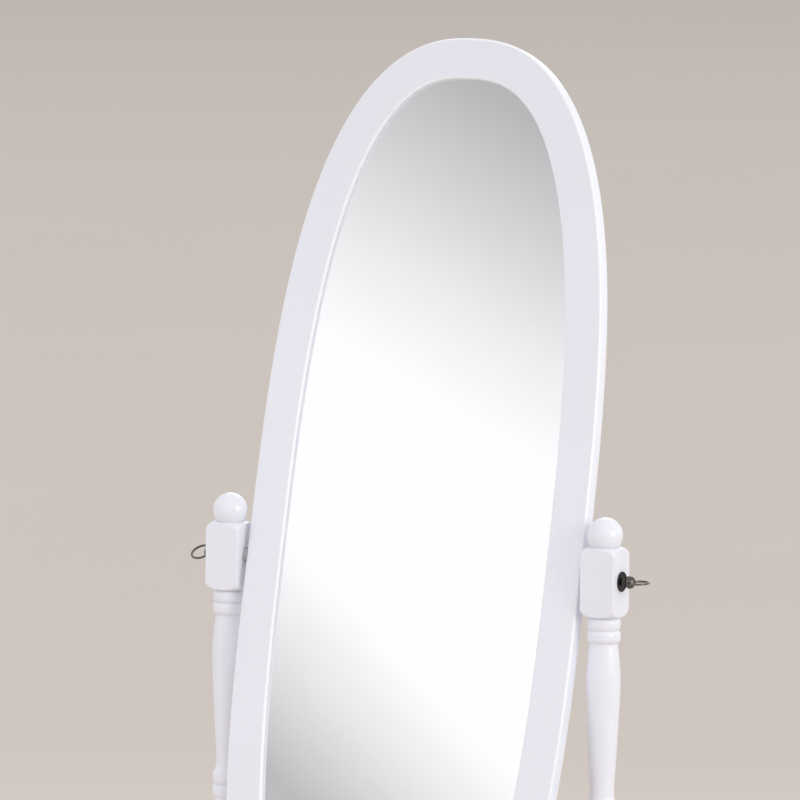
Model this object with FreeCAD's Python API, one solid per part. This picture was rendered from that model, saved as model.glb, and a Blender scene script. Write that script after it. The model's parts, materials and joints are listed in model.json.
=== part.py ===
import FreeCAD, Part
import math
import os

from FreeCAD import Vector

# Cheval floor mirror: an oval mirror that tilts between two turned posts.
# Units are millimetres and degrees. +Z is up, -Y is the front, +X is the viewer's right.
# The origin is on the floor, midway between the four feet.

# ---- Driving dimensions ------------------------------------------------------------------

PIVOT_HEIGHT = 923.0            # tilt axis above the floor
POST_HALF_SPACING = 229.5       # from the middle of the stand to a post's axis
BLOCK_SIDE = 40.0               # square stock that the posts are turned from

FRAME_HALF_WIDTH = 204.0
FRAME_HALF_HEIGHT = 577.0
FRAME_THICKNESS = 18.0
FRAME_FACE_WIDTH = 42.5         # visible width of the oval frame at its sides
FRAME_END_FACE_WIDTH = 45.0     # and at its top and bottom
FRONT_ROUNDING = 3.0            # of the frame's outer and inner front edges
BACK_ROUNDING = 2.0             # of its outer back edge
FRAME_OVAL_POWERS = (2.92, 2.52)    # at its sides and at its ends: 2 is a plain ellipse, more is squarer
OPENING_OVAL_POWERS = (2.72, 2.62)
OVAL_CENTRE_ABOVE_PIVOT = 7.0   # along the mirror's own plane
MIRROR_TILT = 12.8              # top of the mirror leans back by this much

FOOT_REACH = 244.5              # from the post's axis to the tip of a toe

# ---- Dimensions worked out from them -------------------------------------------------------

HALF_BLOCK = BLOCK_SIDE / 2
POST_INNER_FACE = POST_HALF_SPACING - HALF_BLOCK
POST_OUTER_FACE = POST_HALF_SPACING + HALF_BLOCK
HALF_FRAME = FRAME_THICKNESS / 2
OPENING_HALF_WIDTH = FRAME_HALF_WIDTH - FRAME_FACE_WIDTH
OPENING_HALF_HEIGHT = FRAME_HALF_HEIGHT - FRAME_END_FACE_WIDTH
BEYOND_CORNERS = HALF_BLOCK * math.sqrt(2) + 0.7

# Layers of the mirror, as distances in front of the tilt axis
GLASS_FRONT = HALF_FRAME - 6.0
GLASS_BACK = GLASS_FRONT - 3.0
SHEET_BACK = GLASS_BACK - 2.0
PANEL_BACK = SHEET_BACK - 3.0
GLASS_REBATE = 8.0              # how far the glass runs under the lip
PANEL_REBATE = 22.0             # how far the back panel runs past the opening
SEAT_PLAY = 0.5                 # gap round the edge of the glass and of the panel

# Turned post, radii
BALL_RADIUS = 19.2
NECK_RADIUS = 15.2
BEAD_RADIUS = 18.2
BEAD_CREASE_RADIUS = 15.8
VASE_END_RADIUS = 15.5
VASE_RADIUS = 18.8
WAIST_RADIUS = 13.3
RING_RADIUS = 17.4
RING_CREASE_RADIUS = 15.0
DROP_CREASE_RADIUS = 13.7

# Turned post, heights above (+) and below (-) the tilt axis
BALL_CENTRE = 48.7
BLOCK_TOP = 36.2
BLOCK_BOTTOM = -39.2
BEADS_BOTTOM = -66.8
UPPER_WAIST = -229.0
RINGS_TOP = -241.0
RINGS_BOTTOM = -271.0
LOWER_WAIST = -284.0
LOWER_BEADS_TOP = -562.0
UPPER_VASE = [(16.9, -80.5), (VASE_RADIUS, -107), (17.4, -148), (15.3, -191)]
LOWER_VASE = [(15.2, -345), (17.4, -420), (VASE_RADIUS, -500)]

# Turned post, shoulders at the ends of its blocks
SHOULDER_HEIGHT = 11.1
SHOULDER_ROOT = 1.2             # the flat ledge round the neck
SHOULDER_BULGE_RADIUS = 24.6    # a point half way along the shoulder's arc
SHOULDER_BULGE_HEIGHT = 3.4
NECK_HEIGHT = 0.6
FLARE_HOLLOW = 0.6

# Turned post, heights above the floor
LOWER_BLOCK_TOP = 333.0
LOWER_BLOCK_BOTTOM = 118.0
DROP_BEAD_BOTTOM = 107.0
DROP_BOTTOM = 82.0

# Stretcher, as distances along it from its middle
STRETCHER_HEIGHT = 268.0
STRETCHER_BEAD_HALF_LENGTH = 8.0
STRETCHER_GROOVE = 11.0
STRETCHER_WAIST = 17.0
STRETCHER_SWELL = 70.0
STRETCHER_NECK = POST_INNER_FACE - 34.0
STRETCHER_END_BEAD = POST_INNER_FACE - 13.0
STRETCHER_SWELL_RADIUS = 17.2
STRETCHER_NECK_RADIUS = 12.3
STRETCHER_BEAD_RADIUS = 18.4
STRETCHER_END_RADIUS = 17.2
STRETCHER_BORE_DEPTH = 30.0

# Legs
LEG_TOP = 206.0
LEG_UNDERSIDE = 126.0
LEG_THICKNESS = 24.0
LEG_EDGE_ROUNDING = 3.0
LEG_BOLT_HEIGHT = 184.0
LEG_BOLT_SEAT = HALF_BLOCK + 24.0   # where a leg bolt's head rests, from the post's axis
LEG_COUNTERBORE_END = 110.0         # well outside the leg's upper edge
LEG_DOWEL_HEIGHT = 148.0
GLIDE_HEIGHT = 4.0
GLIDE_RADIUS = 9.0
GLIDE_CHAMFER = 0.8
GLIDE_REACH = 221.0                 # from the post's axis to a glide's centre

# Fasteners
SHANK_RADIUS = 3.0              # M6 shank, without its thread
RUNNING_CLEARANCE = 0.05
CLEARANCE_HOLE = 3.2
INSERT_RADIUS = 4.5
INSERT_LENGTH = 15.0
FRAME_HOLE_DEPTH = 18.0
BOLT_HEAD_RADIUS = 5.0
BOLT_HEAD_HEIGHT = 4.0
SOCKET_RADIUS = 2.3
SOCKET_FLOOR = 1.4
LEG_BOLT_LENGTH = 37.0
STRETCHER_BOLT_LENGTH = 60.0
COUNTERBORE_RADIUS = 5.5
COUNTERBORE_DEPTH = BOLT_HEAD_HEIGHT + 1.0
CAP_RADIUS = 7.0
CAP_HEIGHT = 2.0
CAP_RIM = 0.5
DOWEL_RADIUS = 4.0
DOWEL_LENGTH = 30.0
PANEL_SCREW_COUNT = 12
PANEL_SCREW_RADIUS = 1.5
PANEL_SCREW_LENGTH = 9.0
PANEL_SCREW_HOLE = 7.0
PANEL_SCREW_HEAD_RADIUS = 3.4
PANEL_SCREW_HEAD_HEIGHT = 2.2
PANEL_SCREW_HEAD_RIM = 0.4
CROSS_SLOT_LENGTH = 4.0
CROSS_SLOT_WIDTH = 0.8
CROSS_SLOT_FLOOR = 1.3

# Washer and spacer
FACE_GAP = 0.1
WASHER_THICKNESS = 1.6
WASHER_RADIUS = 11.0
WASHER_ROUNDING = 0.7
SPACER_RADIUS = 8.0

# Thumb screw, as distances out from the face that clamps the washer
COLLAR_FOOT_RADIUS = 5.8
COLLAR_RADIUS = 7.0
COLLAR_WIDEST = 3.6
COLLAR_END = 8.4
COLLAR_END_RADIUS = 4.2
NOSE_END = 10.0
RING_CENTRE = 14.4
RING_HALF_LENGTH = 10.3         # of the ring's centre line, along the screw
RING_HALF_WIDTH = 12.3          # of the ring's centre line, across the screw
RING_WIRE_RADIUS = 1.25
SHANK_LENGTH = 63.3
SHANK_CHAMFER = 0.8
SCREW_BACKED_OFF = {"left": 0.0, "right": 4.6}      # how far each one stands off its washer
RING_TURN = {"left": -29.0, "right": -1.2}          # the ring's plane, turned from level

SIDES = {"left": -1, "right": 1}
ENDS = {"front": -1, "rear": 1}


# ---- Helpers -----------------------------------------------------------------------------

class Profile:
    """Half outline of a turned piece: a chain of lines, arcs and curves, as (radius, height)."""

    def __init__(self, radius, height):
        self.place = Vector(radius, 0, height)
        self.start = self.place
        self.edges = []

    def line(self, radius, height):
        target = Vector(radius, 0, height)
        self.edges.append(Part.makeLine(self.place, target))
        self.place = target

    def arc(self, middle, target):
        middle = Vector(middle[0], 0, middle[1])
        target = Vector(target[0], 0, target[1])
        self.edges.append(Part.Arc(self.place, middle, target).toShape())
        self.place = target

    def dome(self, radius, height):
        """Part of a sphere centred on the axis, between here and a point; one end is on the axis."""
        wide = max(self.place.x, radius)
        rise = abs(height - self.place.z)
        sphere = (wide ** 2 + rise ** 2) / (2 * rise)
        starts_at_apex = self.place.x < radius
        apex = self.place.z if starts_at_apex else height
        rim = height if starts_at_apex else self.place.z
        inward = math.copysign(1, rim - apex)
        half_turn = math.acos((sphere - rise) / sphere) / 2
        middle_height = apex + inward * sphere * (1 - math.cos(half_turn))
        self.arc((sphere * math.sin(half_turn), middle_height), (radius, height))

    def curve(self, points):
        """A smooth curve through the points, which leaves and arrives along the axis."""
        stops = [self.place] + [Vector(radius, 0, height) for radius, height in points]
        spline = Part.BSplineCurve()
        down = Vector(0, 0, -1)
        spline.interpolate(Points=stops, InitialTangent=down, FinalTangent=down)
        self.edges.append(spline.toShape())
        self.place = stops[-1]

    def bead(self, height, crease, outer):
        """A rounded band from here down to height, which swells out and draws in to the crease."""
        top = self.place.z
        corner = 0.4 * (top - height)
        self.arc(bead_bend(outer - self.place.x, corner, outer, top, -1), (outer, top - corner))
        self.line(outer, height + corner)
        self.arc(bead_bend(outer - crease, corner, outer, height, 1), (crease, height))

    def flare(self, height):
        """A short hollow from a waist out to the neck's radius."""
        rise = self.place.z - height
        self.arc((WAIST_RADIUS + FLARE_HOLLOW, height + 0.4 * rise), (NECK_RADIUS, height))

    def draw_in(self, height):
        """A short hollow from the neck's radius in to a waist."""
        rise = self.place.z - height
        self.arc((WAIST_RADIUS + FLARE_HOLLOW, self.place.z - 0.4 * rise), (WAIST_RADIUS, height))

    def shoulder_out(self, height):
        """From a neck out to beyond a square block's corners, going down."""
        self.line(NECK_RADIUS + SHOULDER_ROOT, height)
        bulge = (SHOULDER_BULGE_RADIUS, height - SHOULDER_BULGE_HEIGHT)
        self.arc(bulge, (BEYOND_CORNERS, height - SHOULDER_HEIGHT))

    def shoulder_in(self, height):
        """From beyond a square block's corners back in to a neck, going down."""
        self.line(BEYOND_CORNERS, height + SHOULDER_HEIGHT)
        bulge = (SHOULDER_BULGE_RADIUS, height + SHOULDER_BULGE_HEIGHT)
        self.arc(bulge, (NECK_RADIUS + SHOULDER_ROOT, height))

    def solid(self):
        closing = Part.makeLine(self.place, self.start)
        face = Part.Face(Part.Wire(self.edges + [closing]))
        return face.revolve(Vector(0, 0, 0), Vector(0, 0, 1), 360)


def bead_bend(depth, corner, outer, edge, away):
    """The middle of a bead's corner arc, which is upright where it meets the straight band."""
    radius = (depth ** 2 + corner ** 2) / (2 * depth)
    half_turn = math.asin(corner / radius) / 2
    return (
        outer - radius * (1 - math.cos(half_turn)),
        edge + away * (corner - radius * math.sin(half_turn)),
    )


def rod(start, end, radius):
    """A round bar between two points."""
    run = end - start
    return Part.makeCylinder(radius, run.Length, start, run)


def oval_point(half_width, half_height, powers, depth, turn):
    """A point of an oval round the mirror's middle, at a distance in front of the tilt axis."""
    across = math.cos(turn)
    along = math.sin(turn)
    side_power, end_power = powers
    power = side_power * across ** 2 + end_power * along ** 2
    reach = (abs(across) ** power + abs(along) ** power) ** (-1 / power)
    height = half_height * along * reach + OVAL_CENTRE_ABOVE_PIVOT
    return Vector(half_width * across * reach, -depth, height)


def oval_outline(half_width, half_height, powers, depth):
    """Closed smooth oval in the mirror's plane, at a distance in front of the tilt axis."""
    stations = 96
    points = []
    for station in range(stations):
        turn = 2 * math.pi * station / stations
        points.append(oval_point(half_width, half_height, powers, depth, turn))
    spline = Part.BSplineCurve()
    spline.interpolate(Points=points, PeriodicFlag=True)
    return Part.Wire(spline.toShape())


def oval_plate(half_width, half_height, powers, front, back):
    """An oval slab between two distances in front of the tilt axis."""
    face = Part.Face(oval_outline(half_width, half_height, powers, front))
    return face.extrude(Vector(0, front - back, 0))


def set_on_pivot(shape):
    """Lifts a piece drawn round the tilt axis to its height and leans it back."""
    placed = shape.copy()
    placed.translate(Vector(0, 0, PIVOT_HEIGHT))
    placed.rotate(Vector(0, 0, PIVOT_HEIGHT), Vector(1, 0, 0), -MIRROR_TILT)
    return placed


def mirrored_to(shape, side):
    """The piece as drawn for +X, or its mirror image for -X."""
    return shape if side > 0 else shape.mirror(Vector(0, 0, 0), Vector(1, 0, 0))


def export(name, solids):
    shape = solids[0] if len(solids) == 1 else Part.Compound(solids)
    shape.exportStep(os.path.join("parts", name + ".step"))
    print(f"{name}: {len(shape.Solids)} solid(s), {shape.Volume / 1000:.1f} cm3, valid {shape.isValid()}")


# ---- Stand -------------------------------------------------------------------------------

def turned_post():
    """A whole post round the Z axis: ball, block, beads, vase, rings, vase, beads, block, drop."""
    pivot = PIVOT_HEIGHT
    ball_drop = math.sqrt(BALL_RADIUS ** 2 - NECK_RADIUS ** 2)
    profile = Profile(0, pivot + BALL_CENTRE + BALL_RADIUS)
    profile.dome(NECK_RADIUS, pivot + BALL_CENTRE - ball_drop)

    profile.shoulder_out(pivot + BLOCK_TOP)
    profile.shoulder_in(pivot + BLOCK_BOTTOM)
    profile.line(NECK_RADIUS, pivot + BLOCK_BOTTOM - NECK_HEIGHT)

    beads_middle = (BLOCK_BOTTOM - NECK_HEIGHT + BEADS_BOTTOM) / 2
    profile.bead(pivot + beads_middle, BEAD_CREASE_RADIUS, BEAD_RADIUS)
    profile.bead(pivot + BEADS_BOTTOM, VASE_END_RADIUS, BEAD_RADIUS)
    upper_vase = [(radius, pivot + height) for radius, height in UPPER_VASE]
    profile.curve(upper_vase + [(WAIST_RADIUS, pivot + UPPER_WAIST)])
    profile.flare(pivot + RINGS_TOP)

    rings_middle = (RINGS_TOP + RINGS_BOTTOM) / 2
    profile.bead(pivot + rings_middle, RING_CREASE_RADIUS, RING_RADIUS)
    profile.bead(pivot + RINGS_BOTTOM, NECK_RADIUS, RING_RADIUS)
    profile.draw_in(pivot + LOWER_WAIST)
    lower_vase = [(radius, pivot + height) for radius, height in LOWER_VASE]
    profile.curve(lower_vase + [(VASE_END_RADIUS, pivot + LOWER_BEADS_TOP)])

    block_top = LOWER_BLOCK_TOP + NECK_HEIGHT
    profile.bead((pivot + LOWER_BEADS_TOP + block_top) / 2, BEAD_CREASE_RADIUS, BEAD_RADIUS)
    profile.bead(block_top, NECK_RADIUS, BEAD_RADIUS)
    profile.shoulder_out(LOWER_BLOCK_TOP)
    profile.shoulder_in(LOWER_BLOCK_BOTTOM)
    profile.line(NECK_RADIUS, LOWER_BLOCK_BOTTOM - NECK_HEIGHT)
    profile.bead(DROP_BEAD_BOTTOM, DROP_CREASE_RADIUS, RING_RADIUS)
    profile.dome(0, DROP_BOTTOM)

    stock = Part.makeBox(BLOCK_SIDE, BLOCK_SIDE, 1000, Vector(-HALF_BLOCK, -HALF_BLOCK, 0))
    return profile.solid().common(stock)


def post(side):
    """A post at its place, with its holes for the thumb screw, the legs and the stretcher."""
    centre = side * POST_HALF_SPACING
    body = turned_post()
    body.translate(Vector(centre, 0, 0))

    holes = []
    for height in (PIVOT_HEIGHT, STRETCHER_HEIGHT):
        inner = Vector(side * (POST_INNER_FACE - 1), 0, height)
        outer = Vector(side * (POST_OUTER_FACE + 1), 0, height)
        holes.append(rod(inner, outer, CLEARANCE_HOLE))
    counterbore = Vector(side * (POST_OUTER_FACE - COUNTERBORE_DEPTH), 0, STRETCHER_HEIGHT)
    holes.append(rod(counterbore, outer, COUNTERBORE_RADIUS))

    for end in ENDS.values():
        face = end * HALF_BLOCK
        bolt_floor = Vector(centre, end * (HALF_BLOCK - INSERT_LENGTH), LEG_BOLT_HEIGHT)
        holes.append(rod(bolt_floor, Vector(centre, face + end, LEG_BOLT_HEIGHT), INSERT_RADIUS))
        dowel_floor = Vector(centre, end * (HALF_BLOCK - DOWEL_LENGTH / 2), LEG_DOWEL_HEIGHT)
        holes.append(rod(dowel_floor, Vector(centre, face + end, LEG_DOWEL_HEIGHT), DOWEL_RADIUS))
    return body.cut(holes)


def leg_outline():
    """Side view of a leg as a closed wire, with Y as the distance out from the post's axis."""
    def spline(points, leaving, arriving):
        curve = Part.BSplineCurve()
        stops = [Vector(0, reach, height) for reach, height in points]
        curve.interpolate(Points=stops, InitialTangent=leaving, FinalTangent=arriving)
        return curve.toShape()

    sole = GLIDE_HEIGHT
    top_back = (HALF_BLOCK, LEG_TOP)
    toe_top = (FOOT_REACH - 14, sole + 25)
    toe_tip = (FOOT_REACH, sole + 11)
    toe_sole = (FOOT_REACH - 8, sole)
    heel = (FOOT_REACH - 42, sole)
    bottom_back = (HALF_BLOCK, LEG_UNDERSIDE)

    upper = spline(
        [top_back, (44, 197), (78, 168), (118, 117), (165, 66), toe_top],
        Vector(0, 1, 0.1), Vector(0, 1, -0.25),
    )
    toe_bulge = (FOOT_REACH - 3, sole + 19)
    toe = spline([toe_top, toe_bulge, toe_tip], Vector(0, 1, -0.25), Vector(0, 0, -1))
    toe_tuck = (FOOT_REACH - 2.4, sole + 3.4)
    toe_under = spline([toe_tip, toe_tuck, toe_sole], Vector(0, 0, -1), Vector(0, -1, 0))
    flat = Part.makeLine(Vector(0, *toe_sole), Vector(0, *heel))
    lower = spline(
        [heel, (178, 20), (138, 54), (98, 99), (62, 122), bottom_back],
        Vector(0, -1, 0.35), Vector(0, -1, 0.05),
    )
    back = Part.makeLine(Vector(0, *bottom_back), Vector(0, *top_back))
    return Part.Wire([upper, toe, toe_under, flat, lower, back])


def leg(side, end):
    """A curved leg, drilled for its dowel and for its bolt, whose head sits in a counterbore."""
    board = Part.Face(leg_outline()).extrude(Vector(LEG_THICKNESS, 0, 0))
    board.translate(Vector(-LEG_THICKNESS / 2, 0, 0))
    long_edges = []
    for edge in board.Edges:
        flat_in_x = edge.BoundBox.XLength < 0.01
        on_post = edge.BoundBox.YMax < HALF_BLOCK + 0.01
        if flat_in_x and not on_post:
            long_edges.append(edge)
    board = board.makeFillet(LEG_EDGE_ROUNDING, long_edges)

    start = HALF_BLOCK - 1
    seat = Vector(0, LEG_BOLT_SEAT, LEG_BOLT_HEIGHT)
    dowel_end = Vector(0, HALF_BLOCK + DOWEL_LENGTH / 2, LEG_DOWEL_HEIGHT)
    board = board.cut([
        rod(Vector(0, start, LEG_BOLT_HEIGHT), seat, CLEARANCE_HOLE),
        rod(seat, Vector(0, LEG_COUNTERBORE_END, LEG_BOLT_HEIGHT), COUNTERBORE_RADIUS),
        rod(Vector(0, start, LEG_DOWEL_HEIGHT), dowel_end, DOWEL_RADIUS),
    ])
    if end < 0:
        board = board.mirror(Vector(0, 0, 0), Vector(0, 1, 0))
    board.translate(Vector(side * POST_HALF_SPACING, 0, 0))
    return board


def bolt(seat, direction, length):
    """A socket-head bolt whose head rests on seat and whose shank runs along direction."""
    shank = Part.makeCylinder(SHANK_RADIUS, length, seat, direction)
    head = Part.makeCylinder(BOLT_HEAD_RADIUS, BOLT_HEAD_HEIGHT, seat, -direction)
    socket_start = seat - direction * BOLT_HEAD_HEIGHT
    corners = []
    across = direction.cross(Vector(0, 0, 1))
    for corner in range(7):
        turn = math.radians(60 * corner)
        sideways = across * (SOCKET_RADIUS * math.cos(turn))
        corners.append(socket_start + sideways + Vector(0, 0, SOCKET_RADIUS * math.sin(turn)))
    hexagon = Part.Face(Part.makePolygon(corners))
    socket = hexagon.extrude(direction * (BOLT_HEAD_HEIGHT - SOCKET_FLOOR))
    return shank.fuse(head).cut(socket)


def insert(mouth, direction):
    """A threaded insert whose mouth is flush with the wood and whose bore takes an M6 shank."""
    sleeve = Part.makeCylinder(INSERT_RADIUS, INSERT_LENGTH, mouth, direction)
    bore = Part.makeCylinder(SHANK_RADIUS + RUNNING_CLEARANCE, INSERT_LENGTH, mouth, direction)
    return sleeve.cut(bore)


def cover_cap(centre, direction):
    """A low domed cap that covers a bolt's counterbore, with direction pointing out of the wood."""
    profile = Profile(0, CAP_HEIGHT)
    profile.dome(CAP_RADIUS, CAP_RIM)
    profile.line(CAP_RADIUS, 0)
    profile.line(0, 0)
    cap = profile.solid()
    cap.rotate(Vector(0, 0, 0), Vector(0, 0, 1).cross(direction), 90)
    cap.translate(centre)
    return cap


def foot_glide(side, end):
    """A nylon disc under a toe."""
    centre = Vector(side * POST_HALF_SPACING, end * GLIDE_REACH, 0)
    disc = Part.makeCylinder(GLIDE_RADIUS, GLIDE_HEIGHT, centre)
    bottom = [edge for edge in disc.Edges if edge.BoundBox.ZMax < 0.01]
    return disc.makeChamfer(GLIDE_CHAMFER, bottom)


def stretcher():
    """The turned rail between the posts, round the X axis, with a blind hole in each end."""
    profile = Profile(0, POST_INNER_FACE)
    profile.line(NECK_RADIUS, POST_INNER_FACE)
    profile.bead(STRETCHER_END_BEAD, DROP_CREASE_RADIUS, STRETCHER_END_RADIUS)
    profile.curve([
        (STRETCHER_NECK_RADIUS, STRETCHER_NECK),
        (STRETCHER_SWELL_RADIUS, STRETCHER_SWELL),
        (WAIST_RADIUS, STRETCHER_WAIST),
    ])
    profile.arc((WAIST_RADIUS + FLARE_HOLLOW, STRETCHER_GROOVE), (NECK_RADIUS, STRETCHER_BEAD_HALF_LENGTH))
    profile.bead(-STRETCHER_BEAD_HALF_LENGTH, NECK_RADIUS, STRETCHER_BEAD_RADIUS)
    profile.arc((WAIST_RADIUS + FLARE_HOLLOW, -STRETCHER_GROOVE), (WAIST_RADIUS, -STRETCHER_WAIST))
    profile.curve([
        (STRETCHER_SWELL_RADIUS, -STRETCHER_SWELL),
        (STRETCHER_NECK_RADIUS, -STRETCHER_NECK),
        (DROP_CREASE_RADIUS, -STRETCHER_END_BEAD),
    ])
    profile.bead(-POST_INNER_FACE, NECK_RADIUS, STRETCHER_END_RADIUS)
    profile.line(0, -POST_INNER_FACE)
    rail = profile.solid()
    rail.rotate(Vector(0, 0, 0), Vector(0, 1, 0), 90)
    holes = []
    for side in SIDES.values():
        mouth = Vector(side * (POST_INNER_FACE + 1), 0, 0)
        holes.append(rod(mouth, Vector(side * (POST_INNER_FACE - INSERT_LENGTH), 0, 0), INSERT_RADIUS))
        bore_end = Vector(side * (POST_INNER_FACE - STRETCHER_BORE_DEPTH), 0, 0)
        holes.append(rod(mouth, bore_end, CLEARANCE_HOLE))
    rail = rail.cut(holes)
    rail.translate(Vector(0, 0, STRETCHER_HEIGHT))
    return rail


# ---- Mirror ------------------------------------------------------------------------------

def oval_frame():
    """The routed oval frame, drawn round the tilt axis: lip, rebate for the glass, step for the panel."""
    back = -HALF_FRAME
    ring = oval_plate(FRAME_HALF_WIDTH, FRAME_HALF_HEIGHT, FRAME_OVAL_POWERS, HALF_FRAME, back)
    opening = oval_plate(OPENING_HALF_WIDTH, OPENING_HALF_HEIGHT, OPENING_OVAL_POWERS, HALF_FRAME, back)
    ring = ring.cut(opening)
    front_edges = [edge for edge in ring.Edges if edge.BoundBox.YMax < 0.01 - HALF_FRAME]
    ring = ring.makeFillet(FRONT_ROUNDING, front_edges)
    back_edges = []
    for edge in ring.Edges:
        at_back = edge.BoundBox.YMin > HALF_FRAME - 0.01
        if at_back and edge.BoundBox.XMax > FRAME_HALF_WIDTH - 1:
            back_edges.append(edge)
    ring = ring.makeFillet(BACK_ROUNDING, back_edges)

    glass_seat = oval_plate(
        OPENING_HALF_WIDTH + GLASS_REBATE, OPENING_HALF_HEIGHT + GLASS_REBATE,
        OPENING_OVAL_POWERS, GLASS_FRONT, back,
    )
    panel_seat = oval_plate(
        OPENING_HALF_WIDTH + PANEL_REBATE, OPENING_HALF_HEIGHT + PANEL_REBATE,
        OPENING_OVAL_POWERS, SHEET_BACK, back,
    )
    tools = [glass_seat, panel_seat]
    for side in SIDES.values():
        mouth = Vector(side * (FRAME_HALF_WIDTH + 1), 0, 0)
        floor = Vector(side * (FRAME_HALF_WIDTH - FRAME_HOLE_DEPTH), 0, 0)
        tools.append(rod(mouth, floor, INSERT_RADIUS))
    for place in panel_screw_places():
        tools.append(rod(place, place - Vector(0, PANEL_SCREW_HOLE, 0), PANEL_SCREW_RADIUS))
    return ring.cut(tools)


def panel_screw_places():
    """Points on the step behind the panel, evenly round the oval."""
    outward = (GLASS_REBATE + PANEL_REBATE) / 2
    places = []
    for station in range(PANEL_SCREW_COUNT):
        turn = 2 * math.pi * (station + 0.5) / PANEL_SCREW_COUNT
        places.append(oval_point(
            OPENING_HALF_WIDTH + outward, OPENING_HALF_HEIGHT + outward,
            OPENING_OVAL_POWERS, SHEET_BACK, turn,
        ))
    return places


def mirror_layer(rebate, front, back):
    """The glass, the sheet or the panel: an oval plate that fits its rebate with a little play."""
    return oval_plate(
        OPENING_HALF_WIDTH + rebate - SEAT_PLAY, OPENING_HALF_HEIGHT + rebate - SEAT_PLAY,
        OPENING_OVAL_POWERS, front, back,
    )


def back_panel():
    panel = mirror_layer(PANEL_REBATE, SHEET_BACK, PANEL_BACK)
    holes = []
    for place in panel_screw_places():
        holes.append(rod(place - Vector(0, 1, 0), place + Vector(0, 5, 0), PANEL_SCREW_RADIUS))
    return panel.cut(holes)


def panel_screw(place):
    """A pan-head wood screw through the panel into the frame, without its thread."""
    seat = Vector(place.x, -PANEL_BACK, place.z)
    shank = rod(seat, seat - Vector(0, PANEL_SCREW_LENGTH, 0), PANEL_SCREW_RADIUS)
    head = Profile(0, PANEL_SCREW_HEAD_HEIGHT)
    head.dome(PANEL_SCREW_HEAD_RADIUS, PANEL_SCREW_HEAD_RIM)
    head.line(PANEL_SCREW_HEAD_RADIUS, 0)
    head.line(0, 0)
    head = head.solid()
    head.rotate(Vector(0, 0, 0), Vector(1, 0, 0), -90)
    head.translate(seat)
    half_length = CROSS_SLOT_LENGTH / 2
    half_width = CROSS_SLOT_WIDTH / 2
    slots = []
    for across, along in ((half_length, half_width), (half_width, half_length)):
        corner = seat + Vector(-across, CROSS_SLOT_FLOOR, -along)
        slots.append(Part.makeBox(2 * across, PANEL_SCREW_HEAD_HEIGHT, 2 * along, corner))
    return head.fuse(shank).cut(slots)


def spacer():
    """Nylon washer between the frame's edge and the post, on the +X side."""
    start = Vector(FRAME_HALF_WIDTH, 0, 0)
    end = Vector(POST_INNER_FACE - 2 * FACE_GAP, 0, 0)
    return rod(start, end, SPACER_RADIUS).cut(rod(start, end, CLEARANCE_HOLE))


# ---- Washers and thumb screws ------------------------------------------------------------

def washer():
    """The black washer under a thumb screw's collar, on the +X side."""
    start = Vector(POST_OUTER_FACE + FACE_GAP, 0, 0)
    end = start + Vector(WASHER_THICKNESS, 0, 0)
    disc = rod(start, end, WASHER_RADIUS)
    rim = [edge for edge in disc.Edges if edge.BoundBox.XMin > end.x - 0.01]
    disc = disc.makeFillet(WASHER_ROUNDING, rim)
    return disc.cut(rod(start, end, SHANK_RADIUS + RUNNING_CLEARANCE))


def thumb_screw(backed_off, ring_turn):
    """Shank, barrel-shaped collar and wire ring in one piece, on the +X side."""
    profile = Profile(0, -SHANK_LENGTH)
    profile.line(SHANK_RADIUS - SHANK_CHAMFER, -SHANK_LENGTH)
    profile.line(SHANK_RADIUS, SHANK_CHAMFER - SHANK_LENGTH)
    profile.line(SHANK_RADIUS, 0)
    profile.line(COLLAR_FOOT_RADIUS, 0)
    profile.arc((COLLAR_RADIUS, COLLAR_WIDEST), (COLLAR_END_RADIUS, COLLAR_END))
    profile.dome(0, NOSE_END)
    stem = profile.solid()

    centre_line = Part.Ellipse(Vector(0, 0, 0), RING_HALF_WIDTH, RING_HALF_LENGTH).toShape()
    wire = Part.Circle(Vector(RING_HALF_WIDTH, 0, 0), Vector(0, 1, 0), RING_WIRE_RADIUS).toShape()
    ring = Part.Wire(centre_line).makePipe(Part.Face(Part.Wire(wire)))
    ring.rotate(Vector(0, 0, 0), Vector(1, 0, 0), 90)
    ring.translate(Vector(0, 0, RING_CENTRE))

    screw = stem.fuse(ring)
    screw.rotate(Vector(0, 0, 0), Vector(0, 1, 0), 90)
    screw.rotate(Vector(0, 0, 0), Vector(1, 0, 0), 90 - ring_turn)
    clamped = POST_OUTER_FACE + WASHER_THICKNESS + 2 * FACE_GAP
    screw.translate(Vector(clamped + backed_off, 0, 0))
    return screw


# ---- The whole object --------------------------------------------------------------------

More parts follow.
